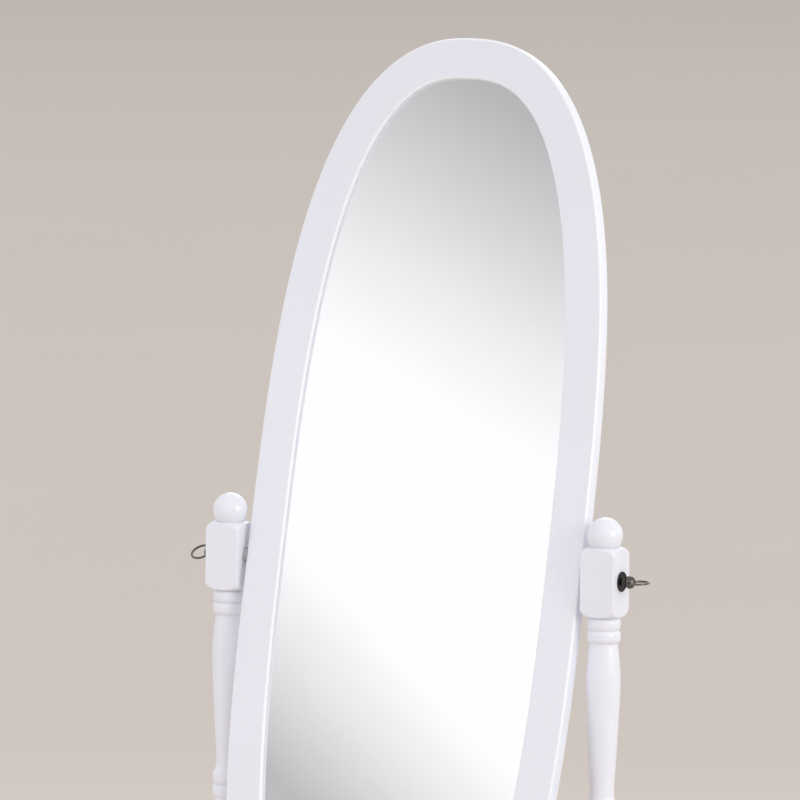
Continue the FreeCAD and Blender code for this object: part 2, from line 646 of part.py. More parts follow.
def build_stand():
    bolts = []
    inserts = []
    dowels = []
    caps = []
    glides = []
    stretcher_bolts = []
    stretcher_inserts = []
    for side_name, side in SIDES.items():
        export(side_name + "_post", [post(side)])
        centre = side * POST_HALF_SPACING
        for end_name, end in ENDS.items():
            export(f"{side_name}_{end_name}_leg", [leg(side, end)])
            inward = Vector(0, -end, 0)
            seat = Vector(centre, end * LEG_BOLT_SEAT, LEG_BOLT_HEIGHT)
            bolts.append(bolt(seat, inward, LEG_BOLT_LENGTH))
            inserts.append(insert(Vector(centre, end * HALF_BLOCK, LEG_BOLT_HEIGHT), inward))
            half_dowel = DOWEL_LENGTH / 2
            dowels.append(rod(
                Vector(centre, end * (HALF_BLOCK - half_dowel), LEG_DOWEL_HEIGHT),
                Vector(centre, end * (HALF_BLOCK + half_dowel), LEG_DOWEL_HEIGHT),
                DOWEL_RADIUS,
            ))
            glides.append(foot_glide(side, end))
        seat = Vector(side * (POST_OUTER_FACE - COUNTERBORE_DEPTH), 0, STRETCHER_HEIGHT)
        inward = Vector(-side, 0, 0)
        stretcher_bolts.append(bolt(seat, inward, STRETCHER_BOLT_LENGTH))
        stretcher_inserts.append(insert(Vector(side * POST_INNER_FACE, 0, STRETCHER_HEIGHT), inward))
        caps.append(cover_cap(Vector(side * POST_OUTER_FACE, 0, STRETCHER_HEIGHT), Vector(side, 0, 0)))
    export("lower_stretcher", [stretcher()])
    export("leg_bolts", bolts)
    export("leg_bolt_inserts", inserts)
    export("leg_dowels", dowels)
    export("stretcher_bolts", stretcher_bolts)
    export("stretcher_inserts", stretcher_inserts)
    export("bolt_cover_caps", caps)
    export("foot_glides", glides)


def build_mirror():
    export("oval_frame", [set_on_pivot(oval_frame())])
    export("mirror_glass", [set_on_pivot(mirror_layer(GLASS_REBATE, GLASS_FRONT, GLASS_BACK))])
    export("backing_sheet", [set_on_pivot(mirror_layer(GLASS_REBATE, GLASS_BACK, SHEET_BACK))])
    export("back_panel", [set_on_pivot(back_panel())])
    export("back_panel_screws", [set_on_pivot(panel_screw(place)) for place in panel_screw_places()])
    for name, side in SIDES.items():
        mouth = Vector(side * FRAME_HALF_WIDTH, 0, 0)
        export(name + "_frame_insert", [set_on_pivot(insert(mouth, Vector(-side, 0, 0)))])
        export(name + "_spacer", [set_on_pivot(mirrored_to(spacer(), side))])


def build_screws():
    for name, side in SIDES.items():
        screw = thumb_screw(SCREW_BACKED_OFF[name], RING_TURN[name])
        for part_name, shape in (("washer", washer()), ("thumb_screw", screw)):
            placed = mirrored_to(shape, side)
            placed.translate(Vector(0, 0, PIVOT_HEIGHT))
            export(f"{name}_{part_name}", [placed])


os.makedirs("parts", exist_ok=True)
build_stand()
build_mirror()
build_screws()
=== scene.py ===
import json
import math

import bmesh
import bpy
from mathutils import Matrix, Vector


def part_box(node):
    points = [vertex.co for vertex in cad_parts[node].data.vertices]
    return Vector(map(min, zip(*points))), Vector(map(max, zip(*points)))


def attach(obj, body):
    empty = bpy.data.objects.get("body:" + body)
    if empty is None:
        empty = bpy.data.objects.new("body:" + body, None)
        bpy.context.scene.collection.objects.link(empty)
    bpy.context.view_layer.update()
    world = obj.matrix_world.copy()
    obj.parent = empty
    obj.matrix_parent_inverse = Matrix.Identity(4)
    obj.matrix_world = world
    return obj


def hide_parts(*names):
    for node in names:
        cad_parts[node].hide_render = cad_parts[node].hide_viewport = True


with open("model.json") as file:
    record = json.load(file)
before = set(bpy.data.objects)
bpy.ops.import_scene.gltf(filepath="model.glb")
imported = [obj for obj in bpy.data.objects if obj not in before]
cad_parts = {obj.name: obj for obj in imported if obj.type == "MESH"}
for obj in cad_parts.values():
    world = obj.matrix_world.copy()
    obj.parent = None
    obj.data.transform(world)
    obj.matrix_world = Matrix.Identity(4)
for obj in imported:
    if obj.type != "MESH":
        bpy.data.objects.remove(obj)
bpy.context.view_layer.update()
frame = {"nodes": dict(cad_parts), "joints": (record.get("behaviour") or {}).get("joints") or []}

# Cheval floor mirror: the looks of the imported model. Everything is in metres, in the CAD's frame:
# +Z up, -Y the front, +X the viewer's right.

MM = 0.001


# ---- Sizes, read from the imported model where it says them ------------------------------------

def joint(name):
    return next(j for j in frame["joints"] if j["name"] == name)


def middle(node):
    low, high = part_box(node)
    return (low + high) / 2


def extent(node):
    low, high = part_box(node)
    return high - low


PIVOT = Vector(joint("mirror_tilt")["pos_m"])
POST_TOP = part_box("right_post")[1].z
POST_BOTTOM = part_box("right_post")[0].z
POST_X = middle("right_post").x
BLOCK_SIDE = extent("right_post").x
HALF_BLOCK = BLOCK_SIDE / 2
POST_OUTER_FACE = POST_X + HALF_BLOCK
FRAME_HALF_WIDTH = extent("oval_frame").x / 2

MIRROR_TILT = math.radians(12.8)
MIRROR_UP = Vector((0, math.sin(MIRROR_TILT), math.cos(MIRROR_TILT)))
MIRROR_FRONT = Vector((0, -math.cos(MIRROR_TILT), math.sin(MIRROR_TILT)))

FRAME_THICKNESS = 18 * MM
HALF_FRAME = FRAME_THICKNESS / 2
FRAME_HALF_HEIGHT = 577 * MM
FRAME_FACE_WIDTH = 42.5 * MM
FRAME_END_FACE_WIDTH = 45 * MM
OPENING_HALF_WIDTH = FRAME_HALF_WIDTH - FRAME_FACE_WIDTH
OPENING_HALF_HEIGHT = FRAME_HALF_HEIGHT - FRAME_END_FACE_WIDTH
FRAME_OVAL_POWERS = (2.92, 2.52)
OPENING_OVAL_POWERS = (2.72, 2.62)
OVAL_CENTRE_ABOVE_PIVOT = 7 * MM

SIDES = {"left": -1, "right": 1}


# ---- Material helpers ------------------------------------------------------------------------

# Socket numbers of the colour mixing node
MIX_FIRST_COLOUR = 6
MIX_SECOND_COLOUR = 7
MIX_RESULT = 2


class Shader:
    """A material's node tree, with short calls for the nodes that the materials below use."""

    def __init__(self, name):
        self.material = bpy.data.materials.new(name)
        self.material.use_nodes = True
        self.tree = self.material.node_tree
        self.surface = self.tree.nodes["Principled BSDF"]
        coordinates = self.tree.nodes.new("ShaderNodeTexCoord")
        self.place = coordinates.outputs["Object"]
        self.facing = coordinates.outputs["Normal"]

    def node(self, kind, **settings):
        made = self.tree.nodes.new(kind)
        for key, value in settings.items():
            setattr(made, key, value)
        return made

    def link(self, source, target):
        self.tree.links.new(source, target)

    def set(self, **values):
        """Fixed numbers and colours on the shader's own sockets."""
        for key, value in values.items():
            self.surface.inputs[key.replace("_", " ")].default_value = value

    def stretched(self, scale):
        """The object's own coordinates, multiplied along each axis."""
        mapping = self.node("ShaderNodeMapping")
        mapping.inputs["Scale"].default_value = scale
        self.link(self.place, mapping.inputs["Vector"])
        return mapping.outputs["Vector"]

    def noise(self, scale, detail=4, roughness=0.5, stretch=None):
        made = self.node("ShaderNodeTexNoise")
        made.inputs["Scale"].default_value = scale
        made.inputs["Detail"].default_value = detail
        made.inputs["Roughness"].default_value = roughness
        self.link(self.stretched(stretch) if stretch else self.place, made.inputs["Vector"])
        return made.outputs["Fac"]

    def cells(self, scale):
        made = self.node("ShaderNodeTexVoronoi", feature="F1")
        made.inputs["Scale"].default_value = scale
        self.link(self.place, made.inputs["Vector"])
        return made.outputs["Distance"]

    def spread(self, value, low, high, to_low, to_high):
        """A value from low..high, carried over to to_low..to_high and held there."""
        made = self.node("ShaderNodeMapRange", clamp=True)
        for key, number in zip(("From Min", "From Max", "To Min", "To Max"), (low, high, to_low, to_high)):
            made.inputs[key].default_value = number
        self.link(value, made.inputs["Value"])
        return made.outputs["Result"]

    def ramp(self, value, stops):
        """A grey level that runs straight from stop to stop, each a (value, level)."""
        low, high = stops[0][0], stops[-1][0]
        made = self.node("ShaderNodeValToRGB")
        elements = made.color_ramp.elements
        while len(elements) < len(stops):
            elements.new(0.5)
        for element, (place, level) in zip(elements, stops):
            element.position = (place - low) / (high - low)
            element.color = (level, level, level, 1)
        self.link(self.spread(value, low, high, 0, 1), made.inputs["Fac"])
        return made.outputs["Color"]

    def maths(self, operation, first, second):
        made = self.node("ShaderNodeMath", operation=operation)
        for socket, value in zip(made.inputs, (first, second)):
            if isinstance(value, (int, float)):
                socket.default_value = value
            else:
                self.link(value, socket)
        return made.outputs["Value"]

    def mix(self, share, first, second):
        """A colour between two colours, or two colour sockets."""
        made = self.node("ShaderNodeMix", data_type="RGBA")
        self.link(share, made.inputs["Factor"])
        for number, value in ((MIX_FIRST_COLOUR, first), (MIX_SECOND_COLOUR, second)):
            socket = made.inputs[number]
            if isinstance(value, tuple):
                socket.default_value = (*value, 1)
            else:
                self.link(value, socket)
        return made.outputs[MIX_RESULT]

    def pointiness(self):
        return self.node("ShaderNodeNewGeometry").outputs["Pointiness"]

    def colour(self, value):
        self.link(value, self.surface.inputs["Base Color"])

    def roughness(self, value):
        self.link(value, self.surface.inputs["Roughness"])

    def bumps(self, *layers):
        """Bump layers, each a height socket with its depth in metres."""
        normal = None
        for height, depth in layers:
            made = self.node("ShaderNodeBump")
            made.inputs["Strength"].default_value = 1.0
            made.inputs["Distance"].default_value = depth
            self.link(height, made.inputs["Height"])
            if normal is not None:
                self.link(normal, made.inputs["Normal"])
            normal = made.outputs["Normal"]
        self.link(normal, self.surface.inputs["Normal"])


# ---- Materials -------------------------------------------------------------------------------

LACQUER_WHITE = (0.800, 0.808, 0.880)
LACQUER_SHADE = (0.775, 0.782, 0.850)
# Painted highlight: the colour that sharp edges are brightened towards
LACQUER_EDGE_HIGHLIGHT = (0.93, 0.933, 0.955)
# Dust and painted shade: the colour that each crease is darkened towards
LACQUER_CREASE_DUST_AND_SHADE = (0.60, 0.592, 0.65)
# Painted highlight on the frame's rounded arrises, and painted light on its routed walls
ROUTED_ROUNDING_HIGHLIGHT = (0.895, 0.90, 0.935)
ROUTED_WALL_PAINTED_LIGHT = (0.835, 0.858, 0.93)
STAND_TONE = 1.03
FRAME_TONE = 1.015
GRAIN_DEPTH = 0.03 * MM
FRAME_GRAIN_DEPTH = 0.02 * MM
SILVER_CLEAN = (0.935, 0.94, 0.945)
SILVER_DUSTY = (0.915, 0.92, 0.922)
BRONZE_DARK = (0.088, 0.083, 0.071)
BRONZE_WORN = (0.42, 0.39, 0.33)
WASHER_BLACK = (0.016, 0.014, 0.017)
WASHER_WORN = (0.10, 0.094, 0.10)
ZINC_BRIGHT = (0.60, 0.61, 0.63)
ZINC_STAINED = (0.44, 0.44, 0.43)
BRASS_BRIGHT = (0.72, 0.54, 0.25)
BRASS_DULL = (0.50, 0.36, 0.16)
BOARD_BROWN = (0.235, 0.130, 0.062)
BOARD_BROWN_DEEPER = (0.190, 0.102, 0.048)
BOARD_FIBRE = (0.335, 0.205, 0.110)
BOARD_FLECK = (0.085, 0.045, 0.022)
FOAM_CELL = (0.80, 0.80, 0.78)
FOAM_CELL_WALL = (0.66, 0.66, 0.64)
CAP_WHITE = (0.80, 0.80, 0.82)
CAP_SHADE = (0.75, 0.75, 0.77)
GLIDE_GREY = (0.30, 0.29, 0.28)
GLIDE_SHADE = (0.24, 0.235, 0.23)
SPACER_GREY = (0.46, 0.455, 0.46)
SPACER_SHADE = (0.40, 0.395, 0.40)
BEECH_PALE = (0.62, 0.43, 0.25)
BEECH_STREAK = (0.44, 0.27, 0.14)


def lacquer(name, grain_stretch, grain_depth, depth_of_tone, face=None):
    """Semi-gloss white lacquer over wood: faint grain, spray texture, a painted highlight on thin edges,
    and dust with painted shade in each crease.

    A flat board also has a face direction: its routed walls get painted light that lifts their shade, and
    their rounded arrises a painted highlight."""
    shader = Shader(name)
    shader.set(IOR=1.5, Coat_Weight=0.25, Coat_Roughness=0.12, Coat_IOR=1.5)
    # edge is the painted highlight colour, crease the colour of dust and painted shade
    white, shade, edge, crease = (
        tuple(channel * depth_of_tone for channel in tone)
        for tone in (LACQUER_WHITE, LACQUER_SHADE, LACQUER_EDGE_HIGHLIGHT, LACQUER_CREASE_DUST_AND_SHADE)
    )
    clouds = shader.noise(5, detail=3)
    body = shader.mix(shader.spread(clouds, 0.3, 0.7, 0, 1), white, shade)
    sharpness = shader.pointiness()
    # Painted highlight: where pointiness finds a sharp edge, the colour brightens
    with_edge_highlights = shader.mix(shader.spread(sharpness, 0.515, 0.57, 0, 0.9), body, edge)
    # Dust and painted shade: where pointiness finds a crease, the colour darkens
    crease_dust_and_shade_share = shader.spread(sharpness, 0.485, 0.42, 0, 0.75)
    lacquered = shader.mix(crease_dust_and_shade_share, with_edge_highlights, crease)
    if face is not None:
        alignment = shader.node("ShaderNodeVectorMath", operation="DOT_PRODUCT")
        alignment.inputs[1].default_value = face
        shader.link(shader.facing, alignment.inputs[0])
        along_face = alignment.outputs["Value"]
        flatness = shader.maths("MULTIPLY", along_face, along_face)
        # Painted highlight: where the surface turns partly away from the face, the colour brightens
        lacquered = shader.mix(shader.spread(flatness, 0.80, 0.97, 1, 0), lacquered, ROUTED_ROUNDING_HIGHLIGHT)
        # Painted light: walls that face across the board are lightened to lift their shade
        lacquered = shader.mix(shader.spread(flatness, 0.10, 0.45, 1, 0), lacquered, ROUTED_WALL_PAINTED_LIGHT)
    shader.colour(lacquered)
    gloss = shader.noise(38, detail=5, roughness=0.6)
    shader.roughness(shader.spread(gloss, 0.3, 0.7, 0.28, 0.31))
    grain = shader.noise(1, detail=6, roughness=0.55, stretch=grain_stretch)
    spray = shader.noise(620, detail=2)
    ripple = shader.noise(70, detail=2)
    shader.bumps((grain, grain_depth), (ripple, 0.04 * MM), (spray, 0.02 * MM))
    return shader.material


def mirror_silver():
    """Silvered float glass: almost perfect reflection, with a breath of dust and faint wipe marks."""
    shader = Shader("mirror_silver_look")
    shader.set(Metallic=1.0)
    dust = shader.noise(9, detail=8, roughness=0.65)
    shader.colour(shader.mix(shader.spread(dust, 0.45, 0.8, 0, 1), SILVER_CLEAN, SILVER_DUSTY))
    wipes = shader.noise(1, detail=4, roughness=0.5, stretch=(26, 9, 9))
    shader.roughness(shader.spread(wipes, 0.45, 0.75, 0.0, 0.022))
    return shader.material


def aged_metal(name, dark, worn, roughness_low, roughness_high, speck_scale):
    """Dark plated metal, rubbed lighter on its edges and mottled in between."""
    shader = Shader(name)
    shader.set(Metallic=1.0)
    mottle = shader.noise(speck_scale, detail=6, roughness=0.65)
    rubbed = shader.spread(shader.pointiness(), 0.51, 0.60, 0, 1)
    wear = shader.maths("MAXIMUM", rubbed, shader.spread(mottle, 0.56, 0.74, 0, 0.6))
    shader.colour(shader.mix(wear, dark, worn))
    shader.roughness(shader.spread(mottle, 0.3, 0.7, roughness_low, roughness_high))
    shader.bumps((mottle, 0.06 * MM), (shader.noise(speck_scale * 6, detail=2), 0.02 * MM))
    return shader.material


def plated_steel():
    """Zinc-plated screws and bolts, with faint stains and a fine grain."""
    shader = Shader("zinc_steel_look")
    shader.set(Metallic=1.0)
    stain = shader.noise(260, detail=5, roughness=0.6)
    shader.colour(shader.mix(shader.spread(stain, 0.4, 0.7, 0, 1), ZINC_BRIGHT, ZINC_STAINED))
    shader.roughness(shader.spread(stain, 0.3, 0.7, 0.26, 0.44))
    shader.bumps((shader.noise(1500, detail=2), 0.02 * MM),)
    return shader.material


def turned_brass():
    """Brass inserts: yellow metal with turning marks and duller patches."""
    shader = Shader("turned_brass_look")
    shader.set(Metallic=1.0)
    patches = shader.noise(300, detail=5)
    shader.colour(shader.mix(shader.spread(patches, 0.35, 0.7, 0, 1), BRASS_BRIGHT, BRASS_DULL))
    shader.roughness(shader.spread(patches, 0.3, 0.7, 0.22, 0.40))
    shader.bumps((shader.noise(1, detail=2, stretch=(2500, 80, 80)), 0.03 * MM),)
    return shader.material


def hardboard():
    """Brown hardboard: felted fibres, darker flecks and a dry matt face."""
    shader = Shader("hardboard_look")
    shader.set(Specular_IOR_Level=0.25)
    fibres = shader.noise(1, detail=8, roughness=0.7, stretch=(420, 420, 160))
    flecks = shader.noise(230, detail=5, roughness=0.7)
    clouds = shader.noise(7, detail=4)
    base = shader.mix(shader.spread(clouds, 0.35, 0.65, 0, 1), BOARD_BROWN, BOARD_BROWN_DEEPER)
    fibred = shader.mix(shader.spread(fibres, 0.45, 0.72, 0, 0.75), base, BOARD_FIBRE)
    shader.colour(shader.mix(shader.spread(flecks, 0.58, 0.72, 0, 0.8), fibred, BOARD_FLECK))
    shader.roughness(shader.spread(fibres, 0.3, 0.7, 0.62, 0.82))
    shader.bumps((fibres, 0.25 * MM), (flecks, 0.1 * MM))
    return shader.material


def moulded_plastic(name, light, dark, roughness):
    """Plain moulded plastic with faint flow marks and a fine eroded texture."""
    shader = Shader(name)
    flow = shader.noise(60, detail=3)
    shader.colour(shader.mix(shader.spread(flow, 0.35, 0.65, 0, 1), light, dark))
    shader.roughness(shader.spread(flow, 0.3, 0.7, roughness - 0.06, roughness + 0.06))
    shader.bumps((shader.noise(1400, detail=2), 0.03 * MM),)
    return shader.material


def foam_sheet():
    """White packing foam with small closed cells."""
    shader = Shader("foam_sheet_look")
    shader.set(Specular_IOR_Level=0.2)
    cells = shader.cells(900)
    shader.colour(shader.mix(shader.spread(cells, 0.1, 0.6, 0, 1), FOAM_CELL, FOAM_CELL_WALL))
    shader.roughness(shader.spread(cells, 0.1, 0.6, 0.7, 0.85))
    shader.bumps((cells, 0.3 * MM),)
    return shader.material


def beech_dowel():
    """Bare beech with short dark flecks along its length."""
    shader = Shader("beech_dowel_look")
    streaks = shader.noise(1, detail=5, stretch=(500, 40, 500))
    shader.colour(shader.mix(shader.spread(streaks, 0.4, 0.65, 0, 1), BEECH_PALE, BEECH_STREAK))
    shader.roughness(shader.spread(streaks, 0.3, 0.7, 0.5, 0.65))
    shader.bumps((streaks, 0.1 * MM),)
    return shader.material


LOOKS = {
    "turned_lacquer": lacquer("turned_lacquer", (14, 14, 330), GRAIN_DEPTH, STAND_TONE),
    "rail_lacquer": lacquer("rail_lacquer", (330, 14, 14), GRAIN_DEPTH, STAND_TONE),
    "flat_lacquer": lacquer("flat_lacquer", (120, 22, 22), GRAIN_DEPTH, STAND_TONE),
    "frame_lacquer": lacquer("frame_lacquer", (16, 16, 5), FRAME_GRAIN_DEPTH, FRAME_TONE, MIRROR_FRONT),
    "mirror_silver": mirror_silver(),
    "antique_bronze": aged_metal(
        "antique_bronze_look", BRONZE_DARK, BRONZE_WORN,
        roughness_low=0.20, roughness_high=0.36, speck_scale=420,
    ),
    "black_washer": aged_metal(
        "black_washer_look", WASHER_BLACK, WASHER_WORN,
        roughness_low=0.28, roughness_high=0.44, speck_scale=360,
    ),
    "zinc_steel": plated_steel(),
    "insert_brass": turned_brass(),
    "hardboard": hardboard(),
    "white_plastic": moulded_plastic("white_plastic_look", CAP_WHITE, CAP_SHADE, roughness=0.42),
    "glide_nylon": moulded_plastic("glide_nylon_look", GLIDE_GREY, GLIDE_SHADE, roughness=0.5),
    "spacer_nylon": moulded_plastic("spacer_nylon_look", SPACER_GREY, SPACER_SHADE, roughness=0.5),
    "backing_foam": foam_sheet(),
    "dowel_wood": beech_dowel(),
}


def dress(obj, look):
    """Gives an object one material on all its slots."""
    if not obj.material_slots:
        obj.data.materials.append(LOOKS[look])
    for slot in obj.material_slots:
        slot.material = LOOKS[look]


# ---- Mesh helpers ----------------------------------------------------------------------------

def make_piece(name, vertices, faces, look, body, replaced):
    """A mesh piece that rides on a CAD body and stands for a CAD node."""
    mesh = bpy.data.meshes.new(name)
    mesh.from_pydata(vertices, [], faces)
    mesh.update()
    mesh.shade_smooth()
    piece = bpy.data.objects.new(name, mesh)
    bpy.context.scene.collection.objects.link(piece)
    dress(piece, look)
    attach(piece, body)
    if replaced:
        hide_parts(replaced)
    turn_faces_outwards(mesh)


def turn_faces_outwards(mesh):
    """Gives a closed mesh outward normals."""
    shell = bmesh.new()
    shell.from_mesh(mesh)
    bmesh.ops.recalc_face_normals(shell, faces=shell.faces)
    shell.to_mesh(mesh)
    shell.free()


def grid_faces(rows, columns, closed_rows=False):
    """Quads between rows of points that each close on themselves."""
    faces = []
    last = rows if closed_rows else rows - 1
    for row in range(last):
        above = (row + 1) % rows
        for column in range(columns):
            beside = (column + 1) % columns
            faces.append((
                row * columns + column,
                row * columns + beside,
                above * columns + beside,
                above * columns + column,
            ))
    return faces


def soft_minimum(first, second, softness):
    """The smaller of two lengths, with the step from one to the other rounded over."""
    overlap = max(softness - abs(first - second), 0) / softness
    return min(first, second) - overlap * overlap * softness / 4


FEWEST_ARC_STEPS = 6
FEWEST_CURVE_STEPS = 4
BEAD_CORNER_SHARE = 0.4

# Millimetres: the smallest radius that a row of points may shrink to at the axis
AXIS_RADIUS = 0.05


def circle_centre(first, second, third):
    """The centre of the circle through three points."""
    (ax, ay), (bx, by), (cx, cy) = first, second, third
    first_square = ax * ax + ay * ay
    second_square = bx * bx + by * by
    third_square = cx * cx + cy * cy
    twice_area = 2 * (ax * (by - cy) + bx * (cy - ay) + cx * (ay - by))
    return (
        (first_square * (by - cy) + second_square * (cy - ay) + third_square * (ay - by)) / twice_area,
        (first_square * (cx - bx) + second_square * (ax - cx) + third_square * (bx - ax)) / twice_area,
    )


class Outline:
    """Half outline of a turned piece, as closely spaced (radius, height) points in millimetres."""

    def __init__(self, radius, height, step=0.5):
        self.points = [(radius, height)]
        self.step = step

    def line(self, radius, height):
        start_radius, start_height = self.points[-1]
        length = math.hypot(radius - start_radius, height - start_height)
        count = max(1, round(length / (self.step * 2)))
        for index in range(1, count + 1):
            share = index / count
            self.points.append((
                start_radius + (radius - start_radius) * share,
                start_height + (height - start_height) * share,
            ))

    def arc(self, through, target):
        """A circular arc from here through one point to another."""
        here = self.points[-1]
        centre_x, centre_y = circle_centre(here, through, target)
        radius = math.hypot(here[0] - centre_x, here[1] - centre_y)
        start, passing, arriving = (
            math.atan2(y - centre_y, x - centre_x) for x, y in (here, through, target)
        )
        sweep = (arriving - start) % math.tau
        if (passing - start) % math.tau > sweep:
            sweep -= math.tau
        count = max(FEWEST_ARC_STEPS, round(abs(sweep) * radius / self.step))
        for index in range(1, count + 1):
            turn = start + sweep * index / count
            self.points.append((centre_x + radius * math.cos(turn), centre_y + radius * math.sin(turn)))

    def dome(self, radius, height):
        """Part of a sphere centred on the axis, between here and a point; one end is on the axis."""
        place_radius, place_height = self.points[-1]
        wide = max(place_radius, radius)
        rise = abs(height - place_height)
        sphere = (wide ** 2 + rise ** 2) / (2 * rise)
        starts_at_apex = place_radius < radius
        apex = place_height if starts_at_apex else height
        rim = height if starts_at_apex else place_height
        inward = math.copysign(1, rim - apex)
        half_turn = math.acos((sphere - rise) / sphere) / 2
        self.arc(
            (sphere * math.sin(half_turn), apex + inward * sphere * (1 - math.cos(half_turn))),
            (radius, height),
        )

    def curve(self, stops):
        """A smooth curve through the stops, which leaves and arrives along the axis."""
        knots = [self.points[-1]] + list(stops)
        heights = [height for _, height in knots]
        radii = [radius for radius, _ in knots]
        slopes = [0.0] * len(knots)
        for index in range(1, len(knots) - 1):
            widening = radii[index + 1] - radii[index - 1]
            slopes[index] = widening / (heights[index + 1] - heights[index - 1])
        for index in range(len(knots) - 1):
            run = heights[index + 1] - heights[index]
            count = max(FEWEST_CURVE_STEPS, round(abs(run) / (self.step * 3)))
            for step in range(1, count + 1):
                share = step / count
                square = share ** 2
                cube = share ** 3
                radius = (
                    (2 * cube - 3 * square + 1) * radii[index]
                    + (cube - 2 * square + share) * run * slopes[index]
                    + (3 * square - 2 * cube) * radii[index + 1]
                    + (cube - square) * run * slopes[index + 1]
                )
                self.points.append((radius, heights[index] + run * share))

    def bead(self, height, crease, outer):
        """A rounded band from here down to height, which swells out and draws in to the crease."""
        first, top = self.points[-1]
        corner = BEAD_CORNER_SHARE * (top - height)
        self.arc(bead_bend(outer - first, corner, outer, top, -1), (outer, top - corner))
        self.line(outer, height + corner)
        self.arc(bead_bend(outer - crease, corner, outer, height, 1), (crease, height))


def bead_bend(depth, corner, outer, edge, away):
    """The middle of a bead's corner arc, which is upright where it meets the straight band."""
    radius = (depth ** 2 + corner ** 2) / (2 * depth)
    half_turn = math.asin(corner / radius) / 2
    return (
        outer - radius * (1 - math.cos(half_turn)),
        edge + away * (corner - radius * math.sin(half_turn)),
    )


def lathe(outline, columns, shape):
    """Vertices and faces of a turned solid round Z, closed at both ends.

    shape(radius, angle) says how far out the surface is, for a radius of the outline."""
    tip = min(AXIS_RADIUS, outline.step / 4)
    rows = [(max(radius, tip), height) for radius, height in outline.points]
    vertices = []
    for radius, height in rows:
        for angle in columns:
            reach = shape(radius, angle) * MM
            vertices.append(Vector((reach * math.cos(angle), reach * math.sin(angle), height * MM)))
    faces = grid_faces(len(rows), len(columns))
    count = len(columns)
    for start, height in ((0, rows[0][1]), ((len(rows) - 1) * count, rows[-1][1])):
        centre = len(vertices)
        vertices.append(Vector((0, 0, height * MM)))
        for column in range(count):
            faces.append((start + column, start + (column + 1) % count, centre))
    return vertices, faces


def even_turn(count):
    """The angles that divide a full turn evenly."""
    return [math.tau * index / count for index in range(count)]


# ---- Turned posts ----------------------------------------------------------------------------

# Millimetres. Ball, neck and waist sizes; BALL_CENTRE is above the tilt axis.
BALL_RADIUS = 19.2
BALL_CENTRE = 48.7
NECK_RADIUS = 15.2
NECK_HEIGHT = 0.6
BEAD_RADIUS = 18.2
BEAD_CREASE_RADIUS = 15.8
VASE_END_RADIUS = 15.5
VASE_RADIUS = 18.8
WAIST_RADIUS = 13.3
RING_RADIUS = 17.4
RING_CREASE_RADIUS = 15.0
DROP_CREASE_RADIUS = 13.7
FLARE_HOLLOW = 0.6
FLARE_BEND_SHARE = 0.4

# Heights above (+) and below (-) the tilt axis
BLOCK_TOP = 36.2
BLOCK_BOTTOM = -39.2
BEADS_BOTTOM = -66.8
UPPER_WAIST = -229.0
RINGS_TOP = -241.0
RINGS_BOTTOM = -271.0
LOWER_WAIST = -284.0
LOWER_BEADS_TOP = -562.0
UPPER_VASE = [(16.9, -80.5), (VASE_RADIUS, -107), (17.4, -148), (15.3, -191)]
LOWER_VASE = [(15.2, -345), (17.4, -420), (VASE_RADIUS, -500)]

# Heights above the floor
LOWER_BLOCK_TOP = 333.0
LOWER_BLOCK_BOTTOM = 118.0
DROP_BEAD_BOTTOM = 107.0

# Shoulders at the ends of the square blocks
BEYOND_CORNERS = HALF_BLOCK / MM * math.sqrt(2) + 0.7
SHOULDER_HEIGHT = 11.1
SHOULDER_ROOT = 1.2
SHOULDER_BULGE = (24.6, 3.4)

# How widely the stock's corners and the shoulders' arrises are rounded over
CORNER_SOFTNESS = 1.4
ARRIS_SOFTNESS = 0.9

# A surface at least this far inside the stock's faces stays round
STOCK_ALLOWANCE = 0.5

# Keeps a division by a cosine or a sine away from zero
SMALLEST_SHARE = 1e-6

# Angles from a square block's corner at which the post has a column of points
CORNER_OFFSETS = (0, 0.7, 1.4, 2.2, 3.2, 4.6, 6.6, 9.5, 13.5, 18.5, 24, 29.5, 35, 40)


def shoulder_out(outline, height):
    """From a neck out to beyond a square block's corners, going down."""
    outline.line(NECK_RADIUS + SHOULDER_ROOT, height)
    bulge = (SHOULDER_BULGE[0], height - SHOULDER_BULGE[1])
    outline.arc(bulge, (BEYOND_CORNERS, height - SHOULDER_HEIGHT))


def shoulder_in(outline, height):
    """From beyond a square block's corners back in to a neck, going down."""
    outline.line(BEYOND_CORNERS, height + SHOULDER_HEIGHT)
    bulge = (SHOULDER_BULGE[0], height + SHOULDER_BULGE[1])
    outline.arc(bulge, (NECK_RADIUS + SHOULDER_ROOT, height))


